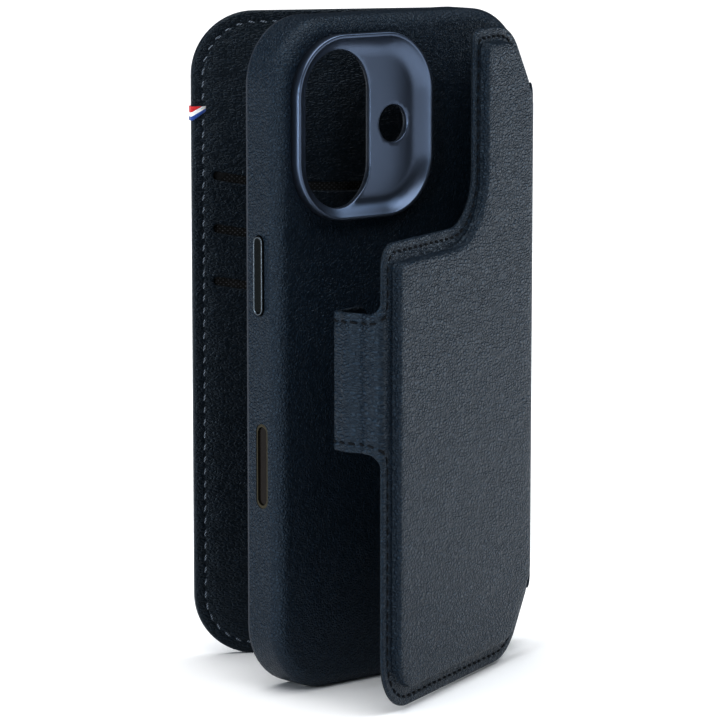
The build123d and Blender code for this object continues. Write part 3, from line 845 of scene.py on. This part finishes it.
spine_strip("spine_outer_leather", 1, "spine_leather", outer_leather)
spine_strip("spine_inner_leather", -1, "spine_lining", inner_leather)

# ---------------------------------------------------------------- front cover

COVER_W = 76.8
COVER_H = 153.1
COVER_MID = -0.2
SLOT_HEIGHTS = (111.4, 99.0, 86.6)
SLOT_MIDDLE = 38.8
SLOT_HALF = 32.0
SLOT_BEND = 160.0
SLOT_R = 1.0
POCKET_BACK = 0.66


def cover_start(height):
    """The cover thins towards its fold, so its faces begin further out than its middle."""
    return HINGE + 2.2 * max(0.0, (abs(height) - 0.3) / 1.1) ** 1.5


def cover_ring(inset, start=HINGE):
    right, low, high = COVER_W - inset, inset, COVER_H - inset
    corners = [(start, low), (right, low), (right, high), (start, high)]
    hinge_radius = 14.0 - inset - (start - HINGE)
    radii = [hinge_radius, 15.0 - inset, 15.0 - inset, hinge_radius]
    return outline(corners, radii, [30, 60, 30, 60], 20)


def arc(centre, radius, start, sweep, steps):
    """Points on an arc, by its start and sweep in radians."""
    angles = [start + sweep * k for k in steps]
    return [centre + radius * np.array([math.cos(a), math.sin(a)]) for a in angles]


def slot_ring(height, extra):
    """Outline of a card slot that dips a little in the middle."""
    bend = math.asin(SLOT_HALF / SLOT_BEND)
    radius = SLOT_R + extra
    middle = np.array([SLOT_MIDDLE, height + SLOT_BEND])
    right, left = (
        middle + SLOT_BEND * np.array([side * math.sin(bend), -math.cos(bend)]) for side in (1, -1)
    )
    long_steps = [k / 48 for k in range(49)]
    end_steps = [k / 12 for k in range(1, 12)]
    points = arc(middle, SLOT_BEND + radius, -math.pi / 2 - bend, 2 * bend, long_steps)
    points += arc(right, radius, -math.pi / 2 + bend, math.pi, end_steps)
    points += arc(middle, SLOT_BEND - radius, -math.pi / 2 + bend, -2 * bend, long_steps)
    points += arc(left, radius, math.pi / 2 - bend, math.pi, end_steps)
    return np.array(points)


COVER_SEAM_INSET = 2.6
COVER_PITCH = 2.95
COVER_FACE_H = 0.80
COVER_SEAM = ((2.1, 0.78), (2.35, 0.71), (COVER_SEAM_INSET, 0.67), (2.85, 0.71), (3.1, 0.78))
COVER_EDGE = ((0.0, 0.0), (0.0, 0.3), (0.06, 0.5), (0.18, 0.66), (0.4, 0.75), (0.8, 0.79))
COVER_EDGE += ((1.5, COVER_FACE_H),)
SLOT_LIP = ((0.0, 0.0), (0.0, 0.55), (0.06, 0.70), (0.2, 0.80), (0.45, 0.84), (0.9, COVER_FACE_H))


def cover_face(name, side, scale, node, material):
    """One leather face of the cover: the outer one has room for pockets, the inner one slots."""
    shape = Shape()
    profile = COVER_EDGE + COVER_SEAM
    heights = [COVER_MID + side * h * scale for i, h in profile]
    starts = [cover_start(h) + 0.03 * k for k, h in enumerate(heights)]
    rings = shape.rings([cover_ring(i, s) for (i, _), s in zip(profile, starts)], heights)
    top = COVER_MID + side * COVER_FACE_H * scale
    near = grid((4, 4), (73, 149), 5)
    far = grid((4, 4), (73, 149), 12)
    if side > 0:
        shape.fill(rings[-1], [], near, top)
        pocket = shape.rings([cover_ring(3.4, 3.4)] * 2, [COVER_MID, POCKET_BACK])
        shape.fill(rings[0], [pocket[0]], (), COVER_MID)
        shape.fill(pocket[1], [], far, POCKET_BACK)
    else:
        lip_heights = [COVER_MID + side * h * scale for e, h in SLOT_LIP]
        slots = [
            shape.rings([slot_ring(height, e) for e, h in SLOT_LIP], lip_heights)
            for height in SLOT_HEIGHTS
        ]
        shape.fill(rings[-1], [slot[-1] for slot in slots], near, top)
        shape.fill(rings[0], [slot[0] for slot in slots], far, COVER_MID)
    obj = shape.make(name, cover_plane, material)
    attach(obj, "front_cover")
    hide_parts(node)


cover_face("cover_outer_leather", 1, 2.0, "cover_leather", outer_leather)
cover_face("cover_slot_leather", -1, 1.0, "cover_inner_leather", inner_leather)

COVER_THREADS = (("cover_stitches_inner", -1, -0.92), ("cover_stitches_outer", 1, 1.28))
COVER_SLANT = 12.0
cover_seam = along(cover_ring(COVER_SEAM_INSET), COVER_PITCH)
cover_seam = [(p, d) for p, d in cover_seam if p[0] > 4.0]
for name, side, height in COVER_THREADS:
    slant = -COVER_SLANT * side
    seam_piece = stitches(name, cover_seam, height, side, cover_plane, cover_thread_painted_glints, slant)
    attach(seam_piece, "front_cover")
    if side < 0:
        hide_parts("cover_stitching")

# Woven tag, folded over the cover's edge: its outer and inner lines, across and outward
TAG_PATH = ((73.6, -1.30), (75.6, -1.32), (76.7, -1.25), (77.08, -0.95), (77.12, -0.3))
TAG_PATH += ((77.12, 0.7), (77.08, 1.35), (76.7, 1.66), (75.6, 1.72), (73.6, 1.70))
TAG_IN = ((73.6, -1.05), (75.6, -1.07), (76.5, -1.04), (76.84, -0.85), (76.88, -0.3))
TAG_IN += ((76.88, 0.7), (76.84, 1.25), (76.5, 1.43), (75.6, 1.47), (73.6, 1.45))
TAG_TAPER = 2.1
TAPER_START = 76.6
TAPER_RUN = 3.0
TAG_RIPPLE = 0.05


def tag_section(z):
    """The tag's loop at one height. It narrows towards the seam, and its faces ripple a little."""
    lift = TAG_RIPPLE * math.sin((z - TAG_LOW) * 2.1)
    down = (TAG_HIGH - z) / (TAG_HIGH - TAG_LOW)
    section = []
    for s, h in TAG_PATH + TAG_IN[::-1]:
        taper = min(max((TAPER_START - s) / TAPER_RUN, 0.0), 1.0)
        section.append([s, z + TAG_TAPER * taper * down, h + (lift if h > 0 else -lift)])
    return section


tag = Shape()
half = len(TAG_PATH)
for ring in tag.tube([tag_section(z) for z in np.linspace(TAG_LOW, TAG_HIGH, 9)]):
    for k in range(half - 1):
        tag.faces.append((ring[k], ring[k + 1], ring[2 * half - 2 - k], ring[2 * half - 1 - k]))
tag_piece = tag.make("woven_tag", cover_plane, tag_cloth)
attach(tag_piece, "front_cover")
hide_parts("ribbon_tag")

# ---------------------------------------------------------------- camera surround

RING_X, RING_Z, RING_W, RING_H, RING_R = -13.6, 128.9, 40.7, 42.0, 14.0
LENS_X, LENS_Z, LENS_W, LENS_H = -20.4, 128.55, 19.4, 35.7
FLASH_X, FLASH_R = -3.65, 4.3
RING_BACK = -0.6


def surround(inset):
    half = (RING_W / 2 - inset, RING_H / 2 - inset)
    return box_outline((RING_X, RING_Z), half, max(RING_R - inset, 2.0), [14] * 4, 28)


def pill(extra):
    half = (LENS_W / 2 + extra, LENS_H / 2 + extra)
    return box_outline((LENS_X, LENS_Z), half, half[0] - 0.001, [1, 16, 1, 16], 24)


def disc(extra):
    a = np.arange(64) * 2 * math.pi / 64
    r = FLASH_R + extra
    return np.column_stack([FLASH_X + r * np.cos(a), RING_Z + r * np.sin(a)])


RIM = ((0.0, RING_BACK), (0.0, 2.3), (0.05, 2.47), (0.16, 2.57), (0.3, 2.60), (0.66, 2.60))
RIM += ((0.80, 2.56), (0.92, 2.46))
DISH = ((1.05, 2.32), (1.25, 2.12), (1.55, 1.86), (1.9, 1.58), (2.35, 1.26))
DISH_FOOT = ((2.8, 0.98), (3.3, 0.73), (3.8, 0.56), (4.3, 0.46), (5.0, 0.40))
MOUTH = ((0.0, -0.20), (0.03, -0.09), (0.08, -0.03), (0.16, 0.0))


def dish_height(p):
    """Height of the dish at a point, by its distance from the surround's outline."""
    straight = np.array([RING_W / 2 - RING_R, RING_H / 2 - RING_R])
    q = np.abs(p - np.array([RING_X, RING_Z])) - straight
    inset = RING_R - np.hypot(*np.maximum(q, 0).T) - np.minimum(q.max(1), 0)
    return np.interp(inset, *zip(*(DISH + DISH_FOOT)))


def mouth(shape, outline_at):
    """A window through the surround, with a rolled edge."""
    paths = [outline_at(0.0)] + [outline_at(e) for e, h in MOUTH]
    heights = [RING_BACK] + [dish_height(outline_at(e)) + h for e, h in MOUTH]
    return shape.rings(paths, heights)


ring = Shape()
rim = ring.rings([surround(i) for i, h in RIM + DISH], [h for i, h in RIM + DISH])
lens = mouth(ring, pill)
flash = mouth(ring, disc)
ring.fill(rim[-1], [lens[-1], flash[-1]], grid((-34, 110), (6, 148), 0.9), dish_height, 0.3)
ring.fill(rim[0], [lens[0], flash[0]], grid((-34, 110), (6, 148), 6), RING_BACK)
camera_surround = ring.make("camera_surround", back_plane, ring_metal)
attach(camera_surround, "phone_case")
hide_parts("camera_ring")

# ---------------------------------------------------------------- buttons

KEY_Y = 0.9
KEY_BACK = 35.95 - CASE_HALF_W
KEY_FLANGE = 0.6
KEY_DISH = 0.12


def stadium(middle, length, width, inset):
    """Outline of a key, pulled in from its edge."""
    half = (width / 2 - inset, length / 2 - inset)
    return box_outline((KEY_Y, middle), half, half[0] - 0.001, [1, 20, 1, 20], 14)


def button(name, node, body, plane, middle, length, width, proud, material):
    """A cap with a bright bevelled rim round a slightly sunk face, on its flange."""
    shape = Shape()
    sunk = proud - KEY_DISH
    profile = [(-KEY_FLANGE, KEY_BACK), (-KEY_FLANGE, KEY_BACK + 0.5), (0.0, KEY_BACK + 0.5)]
    profile += [(0.0, proud - 0.22), (0.05, proud - 0.08), (0.14, proud), (0.34, proud)]
    profile += [(0.46, proud - KEY_DISH * 0.6), (0.60, sunk), (1.0, sunk)]
    paths = [stadium(middle, length, width, i) for i, h in profile]
    rings = shape.rings(paths, [h for i, h in profile])
    shape.fill(rings[-1], [], (), sunk)
    shape.fill(rings[0], [], (), KEY_BACK)
    obj = shape.make(name, plane, material)
    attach(obj, body)
    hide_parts(node)


button(
    "power_cap", "power_button", "power_key", left_plane, 96.1, 18.0, 3.2, LEFT_PROUD, left_key
)
RIGHT_KEYS = (("action", 119.8, 7.0), ("volume_up", 106.4, 11.0), ("volume_down", 92.3, 11.0))
for key, middle, length in RIGHT_KEYS:
    names = (f"{key}_cap", f"{key}_button", f"{key}_key")
    button(*names, right_plane, middle, length, 3.0, RIGHT_PROUD, right_key)

# ---------------------------------------------------------------- floor, light and camera, in metres

FLOOR_HALF = 9.0


def floor():
    """A wide matt floor, almost white."""
    f = Finish("studio_floor", roughness=0.65)
    at = f.place(False)
    slow = f.noise(at, 3.0, 2.0)
    f.colour(f.mix(slow, (0.91, 0.91, 0.915), (0.93, 0.93, 0.935)))
    mesh = bpy.data.meshes.new("floor")
    r = FLOOR_HALF
    mesh.from_pydata([(-r, -r, 0), (r, -r, 0), (r, r, 0), (-r, r, 0)], [], [(0, 1, 2, 3)])
    mesh.materials.append(f.material)
    obj = bpy.data.objects.new("floor", mesh)
    scene.collection.objects.link(obj)


floor()

LIGHT_REACH = 1.2
CASE_MIDDLE = Vector((0.0, 0.0, 0.08))
SILVER = (0.86, 0.94, 1.0)
BLUE_SILVER = (0.70, 0.85, 1.0)


def softbox(name, azimuth, elevation, width, height, power, colour):
    """A soft light, aimed at the middle of the case."""
    data = bpy.data.lights.new(name, "AREA")
    data.shape = "RECTANGLE"
    data.size, data.size_y = width, height
    data.energy = power
    data.color = colour
    obj = bpy.data.objects.new(name, data)
    a, e = math.radians(azimuth), math.radians(elevation)
    away = Vector((math.cos(a) * math.cos(e), math.sin(a) * math.cos(e), math.sin(e)))
    obj.location = CASE_MIDDLE + LIGHT_REACH * away
    obj.rotation_euler = (CASE_MIDDLE - obj.location).to_track_quat("-Z", "Y").to_euler()
    scene.collection.objects.link(obj)


# Azimuth and elevation in degrees, then width, height and power
softbox("right_light", 354, -4, 0.7, 0.4, 3.0, BLUE_SILVER)
softbox("front_light", 330, 46, 1.2, 0.5, 4.2, SILVER)
softbox("left_light", 203, 8, 0.10, 0.9, 8.0, SILVER)
softbox("tab_light", 157, 3, 0.12, 0.6, 4.5, SILVER)

sky = bpy.data.lights.new("top_light", "SUN")
sky.energy = 4.4
sky.angle = math.radians(86)
sky_light = bpy.data.objects.new("top_light", sky)
sky_light.rotation_euler = (math.radians(6), math.radians(-8), 0)
scene.collection.objects.link(sky_light)

world = bpy.data.worlds.new("studio")
scene.world = world
world.use_nodes = True
background = world.node_tree.nodes["Background"]
background.inputs["Color"].default_value = (0.93, 0.95, 1.0, 1.0)
background.inputs["Strength"].default_value = 0.02

camera_data = bpy.data.cameras.new("camera")
camera_data.sensor_width = 36.0
camera_data.lens = 191.8
camera = bpy.data.objects.new("camera", camera_data)
camera.location = (-0.5865, -0.6551, 0.2064)
aim = Vector((-0.0141, -0.0063, 0.0754))
camera.rotation_euler = (aim - camera.location).to_track_quat("-Z", "Y").to_euler()
scene.collection.objects.link(camera)
scene.camera = camera

# The plain view with a little more contrast
scene.view_settings.view_transform = "Standard"
scene.view_settings.gamma = 0.74
